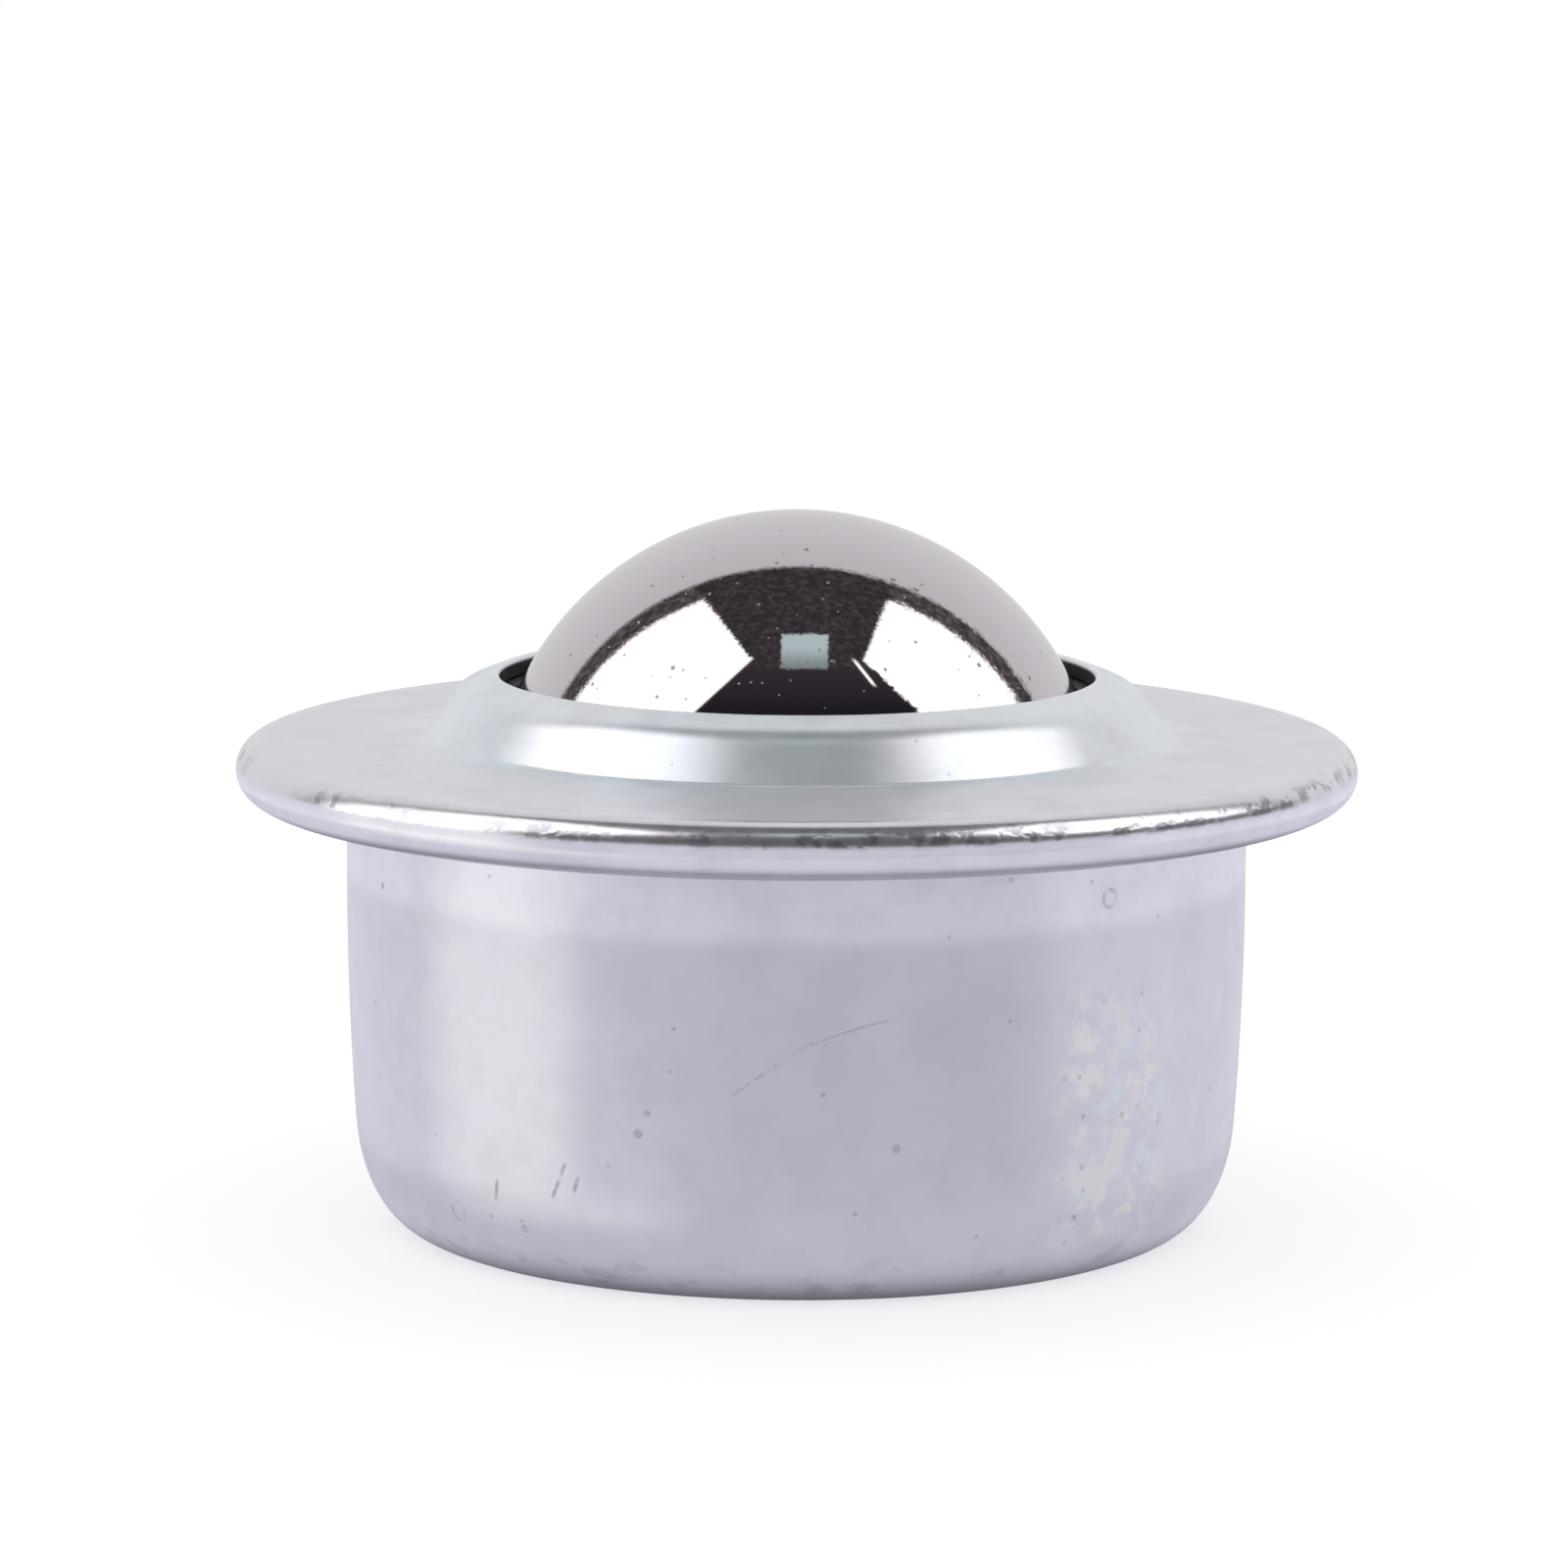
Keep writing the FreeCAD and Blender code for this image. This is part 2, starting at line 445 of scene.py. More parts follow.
# Inner edges of the panels: places at the knee, where they stand closest, and their slopes below and over it.
# Below the knee they spread no further than the knee's reach.
knee = 0.50
knee_reach = 0.35
left_knee = -0.146
right_knee = 0.212
spread_below = 1.08
left_spread_over = 0.80
right_spread_over = 0.40
panel_soft = 0.007
panel_fray = 0.04
fray_noise = (150.0, 3.0, 0.7)
fray_step = (0.45, 0.70)

# Reach of the dark ring and of the sweep: straight over the middle, and how much further out at the sides
ring_reach = (0.742, 0.076)
sweep_reach = (0.803, 0.058)
ring_fuzz = 0.024
ring_fuzz_noise = (80.0, 4.0, 0.75)
sweep_fuzz_share = 0.4
ring_step = (-0.008, 0.008)
sweep_step = (-0.009, 0.007)

# Room and window
mottle_noise = (30.0, 5.0, 0.65)
mottle_step = (0.40, 0.72)
depth_step = (0.30, 0.46)
ceiling_step = (0.455, 0.485)
window_across = (-0.052, 0.098, 0.005)
window_above = (0.472, 0.583, 0.005)
pane_step = (0.47, 0.55)
streak_foot = 0.46
streak_slope = 0.8
streak_across = (0.208, 0.220, 0.003)
streak_above = (0.42, 0.50, 0.01)

# Lower part, which the wall of the cup and the underside of the rolled edge show. Foot and crest are steps of
# the lean that mirror_place describes.
middle_step = (-0.50, -0.02)
right_step = (0.48, 0.62)
left_end_step = (-0.86, -0.78)
left_light = (-0.79, -0.485, 0.03)
foot_step = (-0.225, -0.175)
foot_share = 0.15
crest_step = (-0.185, -0.168)
crest_share = 0.5
ground_step = (-1.0, -0.55)
ground_light_across = (-0.70, -0.30, 0.08)
ground_light_step = (-0.42, -0.34)
horizon_step = (-0.29, -0.21)

# Where the upper part takes over, the sweep's fade, and the bench, which the rolled edge shows as a dark line
upper_step = (0.12, 0.20)
sweep_fade_step = (0.80, 0.95)
bench_across = (-0.47, 0.82, 0.06)
bench_above = (0.125, 0.29, 0.02)

# Light and tones of the studio
panel_light = (1.72, 1.66, 1.68, 1)
left_tone = lilac(0.64)
middle_tone = lilac(0.50)
right_tone = lilac(0.76)
left_end_tone = lilac(0.77)
left_light_tone = (1.10, 1.10, 1.06, 1)
foot_tone = grey(1.0)
crest_tone = lilac(0.76)
ground_dark = lilac(0.14)
ground_pale = lilac(0.66)
ground_light_tone = grey(0.88)
sweep_near = (0.68, 0.67, 0.685, 1)
sweep_far = (0.755, 0.745, 0.765, 1)
room_dim = (0.038, 0.034, 0.037, 1)
room_haze = (0.096, 0.082, 0.083, 1)
depth_low = (0.014, 0.013, 0.018, 1)
depth_high = (0.042, 0.034, 0.042, 1)
pane_low = (0.28, 0.34, 0.34, 1)
pane_high = (0.60, 0.73, 0.74, 1)
streak_light = grey(1.5)
ring_dim = (0.060, 0.052, 0.052, 1)
ring_haze = (0.20, 0.18, 0.18, 1)
bench_tone = grey(0.02)
fill_light = grey(0.85)
backdrop = grey(1.0)

# Floor: half its side and its gap under the object in metres, its grey, and the light that it gives off
floor_half = 1.5
floor_gap = 0.00002
floor_tone = grey(0.60)
floor_shine = 0.56

MirrorPlace = namedtuple("MirrorPlace", "across above still_across still_above reach side lean")


def mirror_place(net, ray):
    """Where the mirror ball shows the direction of a ray.

    A point of a mirror ball shows the direction that lies twice as far from the viewer as the point's normal.
    Reach is the distance from the ball's middle. Side is 0 straight over or under the middle and 1 beside it.
    Lean is the height as a share of the ball's half height at that place across.
    """
    front = (0.0, -math.cos(picture_elevation), math.sin(picture_elevation))
    up = (0.0, math.sin(picture_elevation), math.cos(picture_elevation))
    normal = net.vector("NORMALIZE", net.vector("ADD", ray, front))
    shift = net.wobble(net.noise(ray, *ripple_noise), ripple)
    still_across = net.vector("DOT_PRODUCT", normal, (1.0, 0.0, 0.0), 1)
    still_above = net.vector("DOT_PRODUCT", normal, up, 1)
    across = net.math("ADD", still_across, shift)
    above = net.math("ADD", still_above, shift)
    reach = net.hypot(across, above)
    sideways = net.math("DIVIDE", across, net.math("MAXIMUM", reach, least_reach))
    side = net.math("MULTIPLY", sideways, sideways)
    square_left = net.invert(net.math("MULTIPLY", across, across))
    half_height = net.math("SQRT", net.math("MAXIMUM", square_left, least_square))
    lean = net.math("DIVIDE", above, half_height)
    return MirrorPlace(across, above, still_across, still_above, reach, side, lean)


def panel_mask(net, ray, place):
    """The two panels, whose inner edges are frayed in the upper part."""
    over = net.math("MAXIMUM", net.math("SUBTRACT", place.above, knee), 0.0)
    below = net.math("MAXIMUM", net.math("SUBTRACT", knee, place.above), 0.0)
    below = net.math("MINIMUM", below, knee_reach)
    left_edge = net.line(over, net.line(below, left_knee, -spread_below), -left_spread_over)
    right_edge = net.line(over, net.line(below, right_knee, spread_below), right_spread_over)
    fray = net.wobble(net.noise(ray, *fray_noise), panel_fray)
    fray = net.both(net.rise(place.above, *fray_step), fray)
    past_left = net.math("SUBTRACT", net.math("ADD", left_edge, fray), place.across)
    past_right = net.math("SUBTRACT", place.across, net.math("ADD", right_edge, fray))
    left = net.rise(past_left, -panel_soft, panel_soft)
    right = net.rise(past_right, -panel_soft, panel_soft)
    return net.math("ADD", left, right, clamp=True)


def ring_masks(net, ray, place):
    """Everything from the dark ring outwards, and everything from the sweep outwards."""
    fuzz = net.wobble(net.noise(ray, *ring_fuzz_noise), ring_fuzz)
    ring_edge = net.math("ADD", net.line(place.side, *ring_reach), fuzz)
    sweep_edge = net.math("ADD", net.line(place.side, *sweep_reach), net.share(fuzz, sweep_fuzz_share))
    ring = net.rise(net.math("SUBTRACT", place.reach, ring_edge), *ring_step)
    sweep = net.rise(net.math("SUBTRACT", place.reach, sweep_edge), *sweep_step)
    return ring, sweep


def room_color(net, mottle, place):
    """The dark room between the panels, with a small window and a thin bright streak beside it."""
    ceiling = net.mix(mottle, room_dim, room_haze)
    depth = net.mix(net.rise(place.above, *depth_step), depth_low, depth_high)
    window = net.both(net.band(place.across, *window_across), net.band(place.above, *window_above))
    pane = net.mix(net.rise(place.above, *pane_step), pane_low, pane_high)
    streak_height = net.math("SUBTRACT", place.still_above, streak_foot)
    streak_line = net.line(streak_height, place.still_across, streak_slope)
    streak = net.both(net.band(streak_line, *streak_across), net.band(place.still_above, *streak_above))
    return net.layered(
        depth,
        (net.rise(place.above, *ceiling_step), ceiling),
        (window, pane),
        (streak, streak_light),
    )


def upper_color(net, ray, place):
    """Room, dark ring, panels and sweep, as the ball, the collar and the rolled edge show them."""
    panels = panel_mask(net, ray, place)
    ring, sweep = ring_masks(net, ray, place)
    mottle = net.rise(net.noise(ray, *mottle_noise), *mottle_step)
    return net.layered(
        room_color(net, mottle, place),
        (net.both(ring, panels), net.mix(mottle, ring_dim, ring_haze)),
        (net.both(panels, net.invert(ring)), panel_light),
        (sweep, net.mix(net.rise(place.reach, *sweep_fade_step), sweep_near, sweep_far)),
    )


def lower_color(net, place):
    """Pale surroundings with a bright strip at the left, over a ground that is dark at the ball's foot."""
    surroundings = net.layered(
        left_tone,
        (net.rise(place.across, *middle_step), middle_tone),
        (net.rise(place.across, *right_step), right_tone),
        (net.fall(place.across, *left_end_step), left_end_tone),
        (net.band(place.across, *left_light), left_light_tone),
        (net.share(net.fall(place.lean, *foot_step), foot_share), foot_tone),
        (net.share(net.rise(place.lean, *crest_step), crest_share), crest_tone),
    )
    ground_light = net.both(
        net.band(place.across, *ground_light_across),
        net.rise(place.above, *ground_light_step),
    )
    ground = net.layered(
        ground_dark,
        (net.rise(place.above, *ground_step), ground_pale),
        (ground_light, ground_light_tone),
    )
    return net.mix(net.rise(place.above, *horizon_step), ground, surroundings)


def glow(net, color):
    node = net.add("ShaderNodeBackground")
    net.put(node.inputs["Color"], color)
    return node.outputs[0]


def studio_world():
    """The studio for mirrored rays, an even light for all others and a white backdrop for the camera."""
    world = bpy.data.worlds.new("studio")
    bpy.context.scene.world = world
    world.use_nodes = True
    net = Net(world.node_tree)
    ray = net.add("ShaderNodeTexCoord").outputs["Generated"]
    place = mirror_place(net, ray)
    bench = net.both(net.band(place.across, *bench_across), net.band(place.above, *bench_above))
    seen = net.layered(
        lower_color(net, place),
        (net.rise(place.above, *upper_step), upper_color(net, ray, place)),
        (bench, bench_tone),
    )
    path = net.add("ShaderNodeLightPath")
    mirrored = net.mix_shader(path.outputs["Is Glossy Ray"], glow(net, fill_light), glow(net, seen))
    shown = net.mix_shader(path.outputs["Is Camera Ray"], mirrored, glow(net, backdrop))
    output = net.add("ShaderNodeOutputWorld")
    net.put(output.inputs["Surface"], shown)


def floor():
    """A plain pale floor that shows white to the camera, save where the object's shadow dims its lit share.

    Mirrored rays pass through it and meet the studio's own ground.
    """
    z = bottom * MM - floor_gap
    corners = [(x * floor_half, y * floor_half, z) for x, y in ((-1, -1), (1, -1), (1, 1), (-1, 1))]
    mesh = bpy.data.meshes.new("floor")
    mesh.from_pydata(corners, [], [(0, 1, 2, 3)])
    obj = bpy.data.objects.new("floor", mesh)
    bpy.context.scene.collection.objects.link(obj)
    material = bpy.data.materials.new("pale floor")
    material.use_nodes = True
    net = Net(material.node_tree)
    path = net.add("ShaderNodeLightPath")
    diffuse = net.add("ShaderNodeBsdfDiffuse")
    diffuse.inputs["Color"].default_value = floor_tone
    shine = net.add("ShaderNodeEmission")
    net.put(shine.inputs["Strength"], net.share(path.outputs["Is Camera Ray"], floor_shine))
    lit = net.add("ShaderNodeAddShader")
    net.put(lit.inputs[0], diffuse.outputs[0])
    net.put(lit.inputs[1], shine.outputs[0])
    clear = net.add("ShaderNodeBsdfTransparent")
    output = net.add("ShaderNodeOutputMaterial")
    open_to_glossy = net.mix_shader(path.outputs["Is Glossy Ray"], lit.outputs[0], clear.outputs[0])
    net.put(output.inputs["Surface"], open_to_glossy)
    mesh.materials.append(material)


# Materials

# Relief: its depth in metres, and how strongly each material shows it
relief = 0.00002
plate_relief = 0.6
ball_relief = 0.4

# Heights on the plate in millimetres, as steps or as start, end and softness
wall_top_step = (-0.3, 0.1)
band_end_step = (-4.3, -3.0)
# The cover's tint starts at the rolled edge's middle height, so the edge's downward half keeps the wall's
# lilac: painted reflection of the lilac ground below
cover_tint_start_step = (1.1, 1.9)
under_roll_step = (0.05, 0.60)
# Heights of the nicks: the band where the studio's dark line reflects on the rolled edge, so the nicks there
# partly paint that reflection
nick_and_painted_line_heights = (1.70, 2.35, 0.25)
foot_dark_step = (-20.4, -18.2)
patch_top_step = (-9.0, -5.0)
patch_foot_step = (-20.0, -17.5)
lip_inside_step = (4.0, 4.3)
lip_inside_top_step = (lip_height - 0.40, lip_height - 0.20)
lip_edge_step = (lip_height - 0.25, lip_height - 0.10)

# The same from the axis outwards, and for the patch round the wall
lip_wall_step = (lip_r + 0.03, lip_r + 0.15)
lip_edge_width = (lip_r + 0.05, lip_r + 0.26, 0.05)
collar_end_step = (collar_base_r - 0.4, collar_base_r + 2.2)
rolled_step = (fold_flat_r - 0.5, fold_flat_r + 0.3)
patch_width = (13.4, 20.5, 1.6)

# Noise on the plate, and the step that turns each noise into a mask
tint_noise = (130.0, 3.0, 0.55)
tint_step = (0.38, 0.66)
collar_tint_step = (0.36, 0.68)
second_tint_noise = (70.0, 2.0, 0.5)
second_tint_shift = (0.3, 0.1, 0.7)
second_tint_step = (0.50, 0.72)
shade_noise = (320.0, 4.0, 0.62)
shade_step = (0.38, 0.68)
film_noise = (430.0, 4.0, 0.65)
yellow_step = (0.53, 0.66)
teal_step = (0.36, 0.48)
fleck_noise = (600.0, 4.0, 0.68)
fleck_step = (0.49, 0.60)
nick_noise = (950.0, 2.0, 0.6)
nick_flattening = (1.0, 1.0, 1.5)
nick_step = (0.47, 0.62)
nick_rarity_noise = (110.0, 2.0, 0.5)
nick_rarity_step = (0.34, 0.56)
foot_dark_noise = (380.0, 4.0, 0.65)
foot_dark_flattening = (1.0, 1.0, 1.8)
foot_dark_pattern_step = (0.52, 0.66)
grain_noise = (2200.0, 2.0, 0.65)
cloud_noise = (800.0, 3.0, 0.7)

# Colours of the plate
wall_lilac = (0.76, 0.75, 0.83, 1)
wall_pink = (0.785, 0.75, 0.82, 1)
wall_teal = (0.745, 0.76, 0.83, 1)
# Painted light: the band under the flange is paler to lift it out of the flange's shade
band_painted_light = (0.93, 0.915, 0.985, 1)
flange_cool = (0.83, 0.842, 0.885, 1)
flange_warm = (0.855, 0.842, 0.88, 1)
collar_teal = (0.84, 0.92, 0.97, 1)
collar_pale = (0.89, 0.93, 0.95, 1)
shade_grey = (0.60, 0.59, 0.64, 1)
film_yellow = (0.93, 0.91, 0.83, 1)
film_teal = (0.76, 0.87, 0.90, 1)
# Pale flecks, partly corrosion and partly painted reflection
fleck_and_reflection_pale = (0.95, 0.94, 0.93, 1)
# Dark of pits, marks and nicks; on the rolled edge partly a painted reflection of the dark line
dirt_and_painted_dark = (0.17, 0.16, 0.19, 1)
# Grime and painted shade inside the lip
lip_grime_and_shade = (0.05, 0.05, 0.055, 1)
# Painted highlight along the lip's edge
painted_lip_highlight = (1.0, 0.97, 0.99, 1)
fold_shadow = (0.36, 0.34, 0.40, 1)

# How strongly each layer covers the plate's tint
shade_share = 0.24
film_share = 0.7
fleck_share = 0.8
nick_and_painted_line_share = 0.55
mark_share = 0.50
foot_dark_share = 0.22
fold_shadow_share = 0.6

# Roughness and metal of the plate's zones, and what grain, clouds and flecks add to them
band_rough = 0.14
wall_rough = 0.17
cover_rough = 0.25
rolled_rough = 0.15
grain_rough = 0.06
cloud_rough = 0.10
fleck_rough = 0.18
band_metal = 0.72
wall_metal = 0.88
cover_metal = 0.76
rolled_metal = 0.88
fleck_metal = -0.38

# How high grain, clouds and patch stand in the relief, and how deep the nicks cut
grain_height = 0.10
cloud_height = 0.55
patch_height = 0.9
nick_depth = 0.6

# Pits: scale of the pattern, size, share of the cells that hold one, and how dark they are
fine_pits = (700.0, 0.10, 0.13, 0.30)
coarse_pits = (260.0, 0.06, 0.20, 0.45)
patch_pits = (1100.0, 0.22, 0.35, 0.30)
ball_pits = ((330.0, 0.055, 1.0, 0.90), (800.0, 0.090, 0.90, 0.75), (1500.0, 0.100, 0.60, 0.60))
pit_core = 0.6

# Other materials. Dust takes metal away from the ball, and the plain steel's roughness varies with its noise.
ball_steel = (0.68, 0.648, 0.672, 1)
ball_dust = (0.24, 0.22, 0.22, 1)
ball_rough = 0.03
dust_metal = -0.6
steel_noise = (700.0, 2.0, 0.5)
steel_dark = (0.42, 0.42, 0.44, 1)
steel_pale = (0.52, 0.52, 0.53, 1)
steel_rough = 0.25
steel_rough_spread = 0.1
seal_noise = (900.0, 3.0, 0.5)
seal_black = (0.012, 0.012, 0.013, 1)
seal_dust = (0.035, 0.033, 0.032, 1)
seal_rough = 0.6

# Handling marks on the wall. A place is a share of the wall's half width, from its middle to the right, and a
# height in millimetres. A spot or ring has its radius last. Widths, radii and softness are in millimetres.
scratch_places = (
    (-0.136, -10.9),
    (-0.088, -10.1),
    (0.027, -8.4),
    (0.092, -7.9),
    (0.151, -7.5),
    (0.211, -7.2),
)
scratch_width = 0.09
slash_places = (
    ((-0.523, -16.4), (-0.493, -14.7)),
    ((-0.475, -16.0), (-0.466, -15.3)),
    ((-0.652, -17.0), (-0.646, -16.0)),
)
slash_width = 0.14
spot_places = (
    (-0.595, -18.25, 0.30),
    (-0.333, -12.9, 0.30),
    (-0.313, -11.9, 0.22),
    (-0.255, -7.8, 0.13),
    (-0.919, -9.0, 0.16),
    (0.624, -1.5, 0.16),
    (0.320, -3.5, 0.13),
    (0.613, -17.6, 0.22),
    (0.602, -18.8, 0.18),
    (0.214, -13.4, 0.30),
)
ring_places = ((-0.747, -18.05, 0.46), (0.665, -2.4, 0.42))
ring_line = 0.10
ring_soft = 0.07
stroke_soft = 0.15

# How much of a stroke's or spot's half width is fully dark, how strong each kind of mark is, and the noise
# and steps that break the marks up
stroke_core = 0.4
spot_core = 0.5
scratch_strength = 0.45
ring_strength = 0.7
spot_strength = 0.7
grit_noise = (1500.0, 3.0, 0.7)
line_grit_step = (0.40, 0.60)
slash_grit_step = (0.25, 0.50)
spot_grit_step = (0.30, 0.55)


def start(name):
    material = bpy.data.materials.new(name)
    material.use_nodes = True
    net = Net(material.node_tree)
    where = net.add("ShaderNodeTexCoord").outputs["Object"]
    return material, net, where


def shader(net, color, roughness, metallic=1.0, normal=None):
    node = net.add("ShaderNodeBsdfPrincipled")
    net.put(node.inputs["Metallic"], metallic)
    net.put(node.inputs["Base Color"], color)
    net.put(node.inputs["Roughness"], roughness)
    if normal is not None:
        net.put(node.inputs["Normal"], normal)
    output = net.add("ShaderNodeOutputMaterial")
    net.put(output.inputs["Surface"], node.outputs[0])


def bump(net, height, strength):
    node = net.add("ShaderNodeBump")
    node.inputs["Strength"].default_value = strength
    node.inputs["Distance"].default_value = relief
    net.put(node.inputs["Height"], height)
    return node.outputs[0]


def pits(net, where, scale, size, share, darkness):
    """Small round pits: a share of the cells of a Voronoi pattern hold one."""
    node = net.add("ShaderNodeTexVoronoi")
    net.put(node.inputs["Vector"], where)
    node.inputs["Scale"].default_value = scale
    dot = net.fall(node.outputs["Distance"], size * pit_core, size)
    chosen = net.math("GREATER_THAN", net.split(node.outputs["Color"])[0], 1.0 - share)
    return net.share(net.both(dot, chosen), darkness)


PlatePlace = namedtuple("PlatePlace", "r s t")


def plate_place(net, where):
    """Millimetres from the axis, round the wall from its front, and up."""
    x, y, z = net.split(where)
    r = net.share(net.hypot(x, y), 1 / MM)
    s = net.share(net.math("ARCTAN2", x, net.share(y, -1.0)), register_r)
    t = net.share(z, 1 / MM)
    return PlatePlace(r, s, t)


def wall_point(across, height):
    """A place on the wall in millimetres round it and up, from its share across in a view from the front."""
    return (register_r * math.asin(across), height)


def stroke(net, place, start_point, end_point, width):
    """A line between two points of the wall."""
    length = math.dist(start_point, end_point)
    along = ((end_point[0] - start_point[0]) / length, (end_point[1] - start_point[1]) / length)
    ds = net.math("SUBTRACT", place.s, start_point[0])
    dt = net.math("SUBTRACT", place.t, start_point[1])
    run = net.math("ADD", net.share(ds, along[0]), net.share(dt, along[1]))
    off = net.math("SUBTRACT", net.share(dt, along[0]), net.share(ds, along[1]))
    inside = net.band(run, 0.0, length, stroke_soft)
    near = net.fall(net.math("ABSOLUTE", off), width * stroke_core, width)
    return net.both(inside, near)


def away_from(net, place, centre):
    ds = net.math("SUBTRACT", place.s, centre[0])
    dt = net.math("SUBTRACT", place.t, centre[1])
    return net.hypot(ds, dt)


def spot_mark(net, place, centre, radius):
    return net.fall(away_from(net, place, centre), radius * spot_core, radius)


def ring_mark(net, place, centre, radius):
    return net.band(away_from(net, place, centre), radius - ring_line, radius + ring_line, ring_soft)


def wall_marks(net, where, place):
    """Scratch, slashes, spots and ring marks, broken up by fine noise."""
    grit = net.noise(where, *grit_noise)
    route = [wall_point(*point) for point in scratch_places]
    scratch = net.most(*(stroke(net, place, a, b, scratch_width) for a, b in zip(route, route[1:])))
    cuts = [(wall_point(*a), wall_point(*b)) for a, b in slash_places]
    slashes = net.most(*(stroke(net, place, a, b, slash_width) for a, b in cuts))
    spots = net.most(*(spot_mark(net, place, wall_point(u, z), radius) for u, z, radius in spot_places))
    rings = net.most(*(ring_mark(net, place, wall_point(u, z), radius) for u, z, radius in ring_places))
    lines = net.most(net.share(scratch, scratch_strength), net.share(rings, ring_strength))
    return net.most(
        net.both(lines, net.rise(grit, *line_grit_step)),
        net.both(slashes, net.rise(grit, *slash_grit_step)),
        net.share(net.both(spots, net.rise(grit, *spot_grit_step)), spot_strength),
    )


def plate_tints(net, where, place, below_band):
    """Faint lilac, pink and teal tints on wall, flange and collar, with darker shades over them. The band
    under the flange is painted paler, as painted light against the flange's shade, and the rolled edge's
    lower half keeps the wall's lilac as a painted reflection of the ground below.
    """
    tint = net.noise(where, *tint_noise)
    second = net.noise(net.vector("ADD", where, second_tint_shift), *second_tint_noise)
    shade = net.noise(where, *shade_noise)
    wall = net.mix(net.rise(tint, *tint_step), wall_lilac, wall_pink)
    wall = net.mix(net.rise(second, *second_tint_step), wall, wall_teal)
    # Painted light on the band under the flange
    wall = net.mix(below_band, band_painted_light, wall)
    flange = net.mix(net.rise(tint, *tint_step), flange_cool, flange_warm)
    collar = net.mix(net.rise(tint, *collar_tint_step), collar_teal, collar_pale)
    cover = net.mix(net.rise(place.r, *collar_end_step), collar, flange)
    return net.layered(
        wall,
        # Painted reflection: below the rolled edge's middle the wall's lilac stays
        (net.rise(place.t, *cover_tint_start_step), cover),
        (net.share(net.rise(shade, *shade_step), shade_share), shade_grey),
    )


def edge_nicks_and_painted_line(net, where, place, rolled):
    """A ragged line of nicks and stains along the upper half of the rolled edge, where the studio's dark line
    reflects: partly real chips and stains, partly a painted reflection of that line's ragged edge.
    """
    pattern = net.noise(net.vector("MULTIPLY", where, nick_flattening), *nick_noise)
    rarity = net.noise(where, *nick_rarity_noise)
    line = net.both(rolled, net.band(place.t, *nick_and_painted_line_heights))
    return net.both(line, net.rise(pattern, *nick_step), net.rise(rarity, *nick_rarity_step))


def foot_darkening(net, where, place):
    """Patchy darkening towards the bottom edge."""
    pattern = net.noise(net.vector("MULTIPLY", where, foot_dark_flattening), *foot_dark_noise)
    return net.both(net.rise(pattern, *foot_dark_pattern_step), net.fall(place.t, *foot_dark_step))


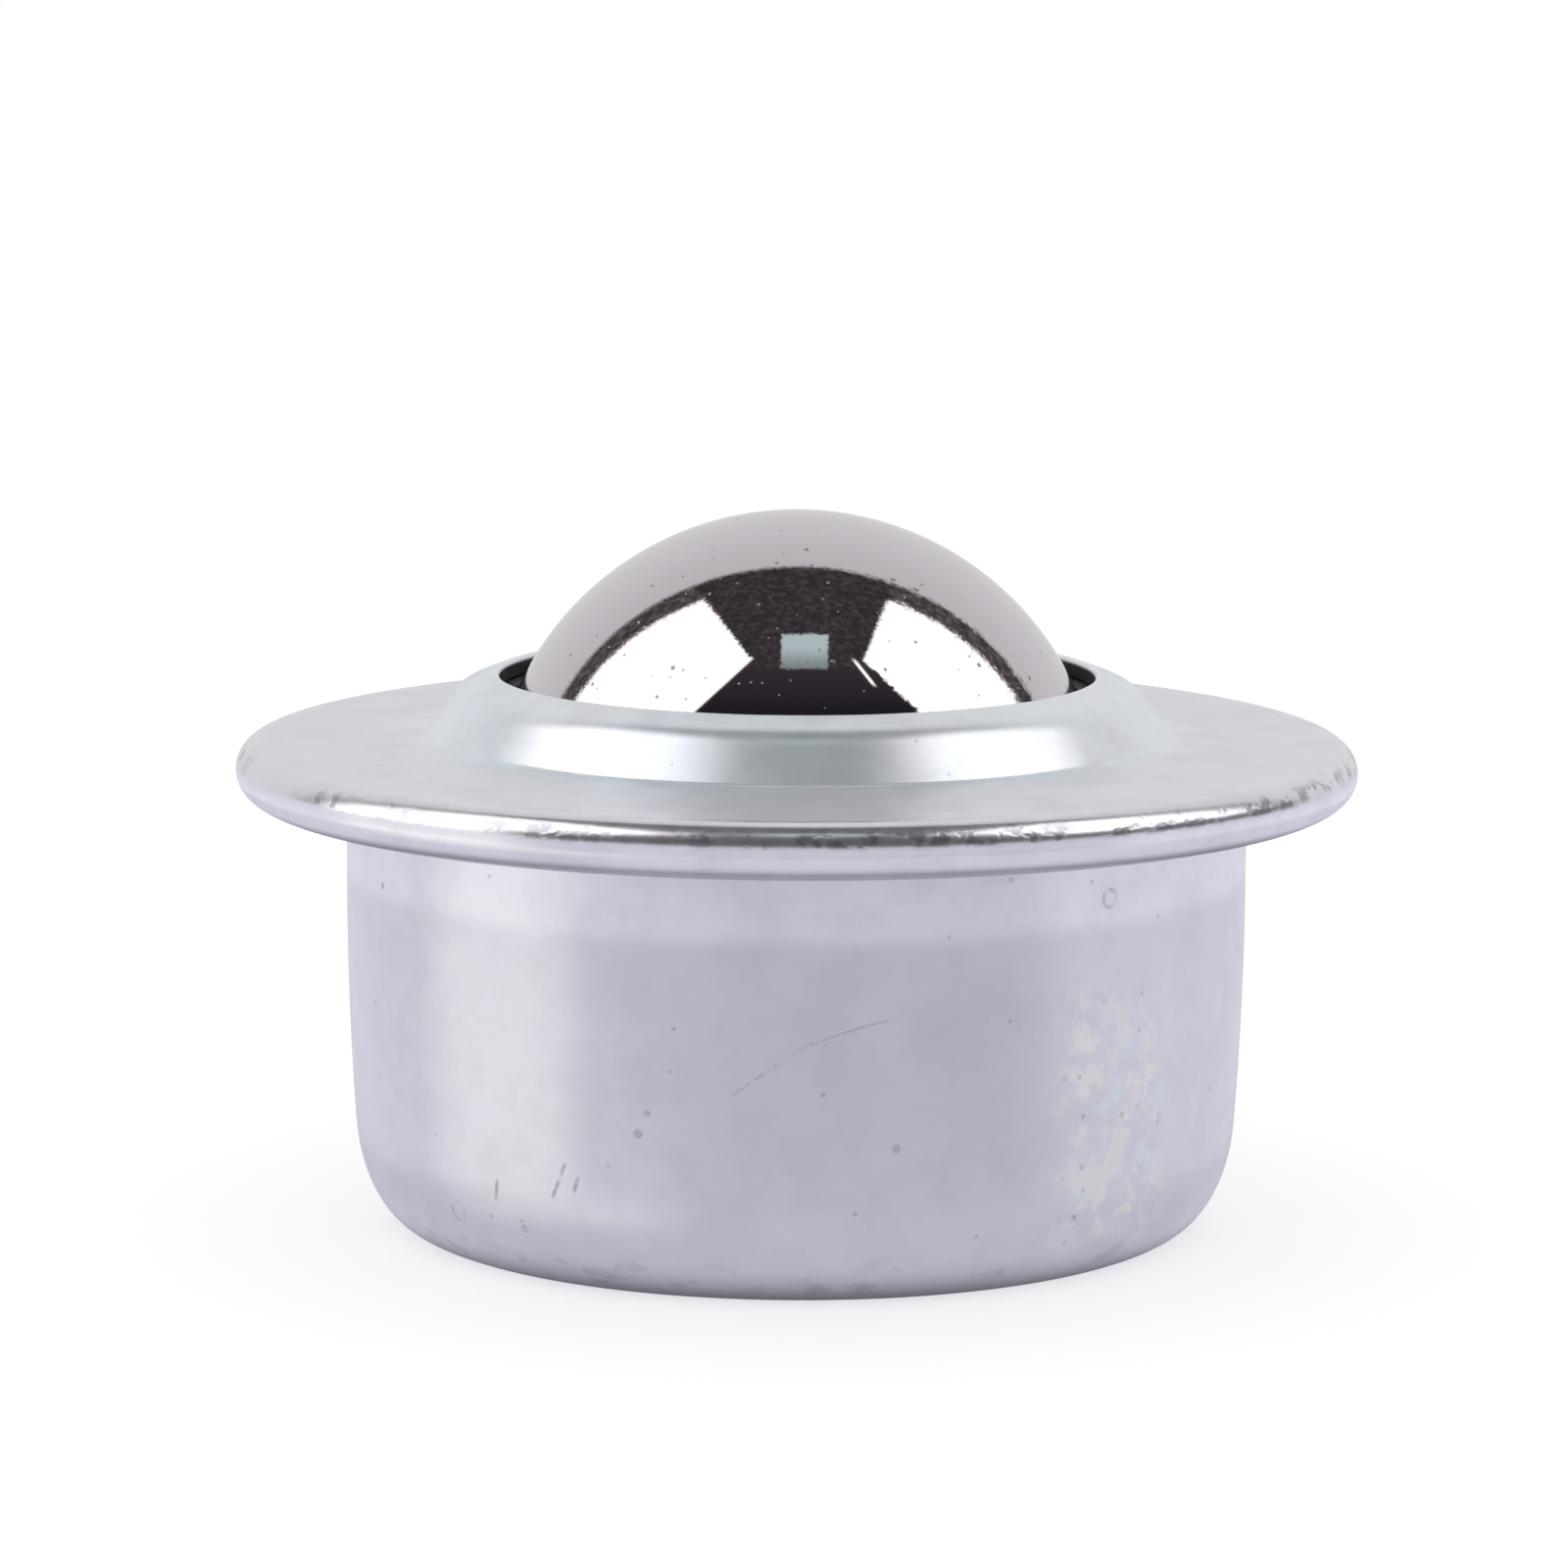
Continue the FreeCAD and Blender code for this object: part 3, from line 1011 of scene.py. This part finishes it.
def zinc_material():
    """Bright zinc plate with faint tints, fine pits and a few handling marks."""
    material, net, where = start("zinc plate")
    place = plate_place(net, where)
    on_wall = net.fall(place.t, *wall_top_step)
    below_band = net.fall(place.t, *band_end_step)
    rolled = net.rise(place.r, *rolled_step)

    # Corroded patch on the right of the wall, with faint yellow and teal films and pale flecks; the pale
    # flecks are partly a painted reflection of the bright light on this side of the wall
    patch = net.both(
        net.band(place.s, *patch_width),
        net.fall(place.t, *patch_top_step),
        net.rise(place.t, *patch_foot_step),
    )
    film = net.noise(where, *film_noise)
    yellow = net.both(patch, net.rise(film, *yellow_step))
    teal = net.both(patch, net.fall(film, *teal_step))
    flecks = net.both(patch, net.rise(net.noise(where, *fleck_noise), *fleck_step))

    # Dirt in pits and marks, nicks on the rolled edge that partly paint a reflection of its dark line, and
    # patchy darkening towards the bottom
    nicks_and_painted_line = edge_nicks_and_painted_line(net, where, place, rolled)
    dark_marks = net.most(
        pits(net, where, *fine_pits),
        pits(net, where, *coarse_pits),
        net.both(pits(net, where, *patch_pits), patch),
        net.share(nicks_and_painted_line, nick_and_painted_line_share),
        net.share(net.both(wall_marks(net, where, place), on_wall), mark_share),
        net.share(foot_darkening(net, where, place), foot_dark_share),
    )

    # The lip's inside is dark with grime and painted shade, its edge carries a painted highlight, and the
    # rolled edge is dark underneath with painted shadow
    inside_lip = net.both(
        net.fall(place.r, *lip_wall_step),
        net.rise(place.t, *lip_inside_step),
        net.fall(place.t, *lip_inside_top_step),
    )
    # Painted highlight: a bright line along the lip's edge
    lip_edge_highlight = net.both(net.rise(place.t, *lip_edge_step), net.band(place.r, *lip_edge_width))
    under_roll = net.both(rolled, net.fall(place.t, *under_roll_step))
    color = net.layered(
        plate_tints(net, where, place, below_band),
        (net.share(yellow, film_share), film_yellow),
        (net.share(teal, film_share), film_teal),
        (net.share(flecks, fleck_share), fleck_and_reflection_pale),
        (dark_marks, dirt_and_painted_dark),
        (inside_lip, lip_grime_and_shade),
        (lip_edge_highlight, painted_lip_highlight),
        (net.share(under_roll, fold_shadow_share), fold_shadow),
    )

    # The plate is smoothest on the band under the flange and rougher on the cover, and mottled all over
    grain = net.noise(where, *grain_noise)
    cloud = net.noise(where, *cloud_noise)
    cup_rough = net.mix_value(below_band, band_rough, wall_rough)
    lid_rough = net.mix_value(rolled, cover_rough, rolled_rough)
    rough = net.math("ADD", net.share(grain, grain_rough), net.share(cloud, cloud_rough))
    rough = net.math("ADD", rough, net.mix_value(on_wall, lid_rough, cup_rough))
    rough = net.line(flecks, rough, fleck_rough)
    cup_metal = net.mix_value(below_band, band_metal, wall_metal)
    lid_metal = net.mix_value(rolled, cover_metal, rolled_metal)
    metallic = net.line(flecks, net.mix_value(on_wall, lid_metal, cup_metal), fleck_metal)
    height = net.math("ADD", net.share(grain, grain_height), net.share(cloud, cloud_height))
    height = net.math("ADD", height, net.share(net.both(patch, cloud), patch_height))
    height = net.math("SUBTRACT", height, net.share(nicks_and_painted_line, nick_depth))
    shader(net, color, rough, metallic=metallic, normal=bump(net, height, plate_relief))
    return material


def ball_material():
    """Polished bearing steel with small dull specks of dust and pitting."""
    material, net, where = start("polished steel")
    dark_marks = net.most(*(pits(net, where, *layer) for layer in ball_pits))
    color = net.mix(dark_marks, ball_steel, ball_dust)
    metallic = net.line(dark_marks, 1.0, dust_metal)
    normal = bump(net, net.share(dark_marks, -1.0), ball_relief)
    shader(net, color, ball_rough, metallic=metallic, normal=normal)
    return material


def plain_steel_material():
    """Ground bearing steel for the pieces inside."""
    material, net, where = start("bearing steel")
    pattern = net.noise(where, *steel_noise)
    color = net.mix(pattern, steel_dark, steel_pale)
    shader(net, color, net.line(pattern, steel_rough, steel_rough_spread))
    return material


def seal_material():
    """Black plastic with a little dust."""
    material, net, where = start("seal plastic")
    color = net.mix(net.noise(where, *seal_noise), seal_black, seal_dust)
    shader(net, color, seal_rough, metallic=0.0)
    return material


def dress(obj, material):
    obj.data.materials.clear()
    obj.data.materials.append(material)


def camera():
    data = bpy.data.cameras.new("camera")
    data.lens = camera_lens
    data.sensor_width = camera_sensor
    data.shift_x, data.shift_y = camera_shift
    data.clip_start, data.clip_end = camera_clip
    obj = bpy.data.objects.new("camera", data)
    bpy.context.scene.collection.objects.link(obj)
    place = Vector((0.0, -math.cos(picture_elevation), math.sin(picture_elevation))) * camera_distance
    aim = (-place).to_track_quat("-Z", "Y")
    roll = Quaternion((0.0, 0.0, 1.0), math.radians(camera_roll))
    obj.matrix_world = Matrix.Translation(place) @ (aim @ roll).to_matrix().to_4x4()
    bpy.context.scene.camera = obj


zinc = zinc_material()
polished = ball_material()
slot_materials = {
    "zinc_plate": zinc,
    "polished_steel": polished,
    "bearing_steel": plain_steel_material(),
    "seal_plastic": seal_material(),
}
for part in frame["record"]["subparts"]:
    dress(frame["nodes"][part["node"]], slot_materials[part["material_slot"]])

cup = turned("cup", cup_profile(), closed=False)
cover = turned("cover", cover_profile(), closed=True)
ball = ball_piece()
for obj, node, body, material, slot in (
    (cup, "housing_cup", "housing", zinc, "zinc_plate"),
    (cover, "top_cover", "housing", zinc, "zinc_plate"),
    (ball, "load_ball", "load_ball", polished, "polished_steel"),
):
    dress(obj, material)
    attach(obj, body)
    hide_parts(node)

studio_world()
floor()
camera()
bpy.context.scene.view_settings.view_transform = "Standard"
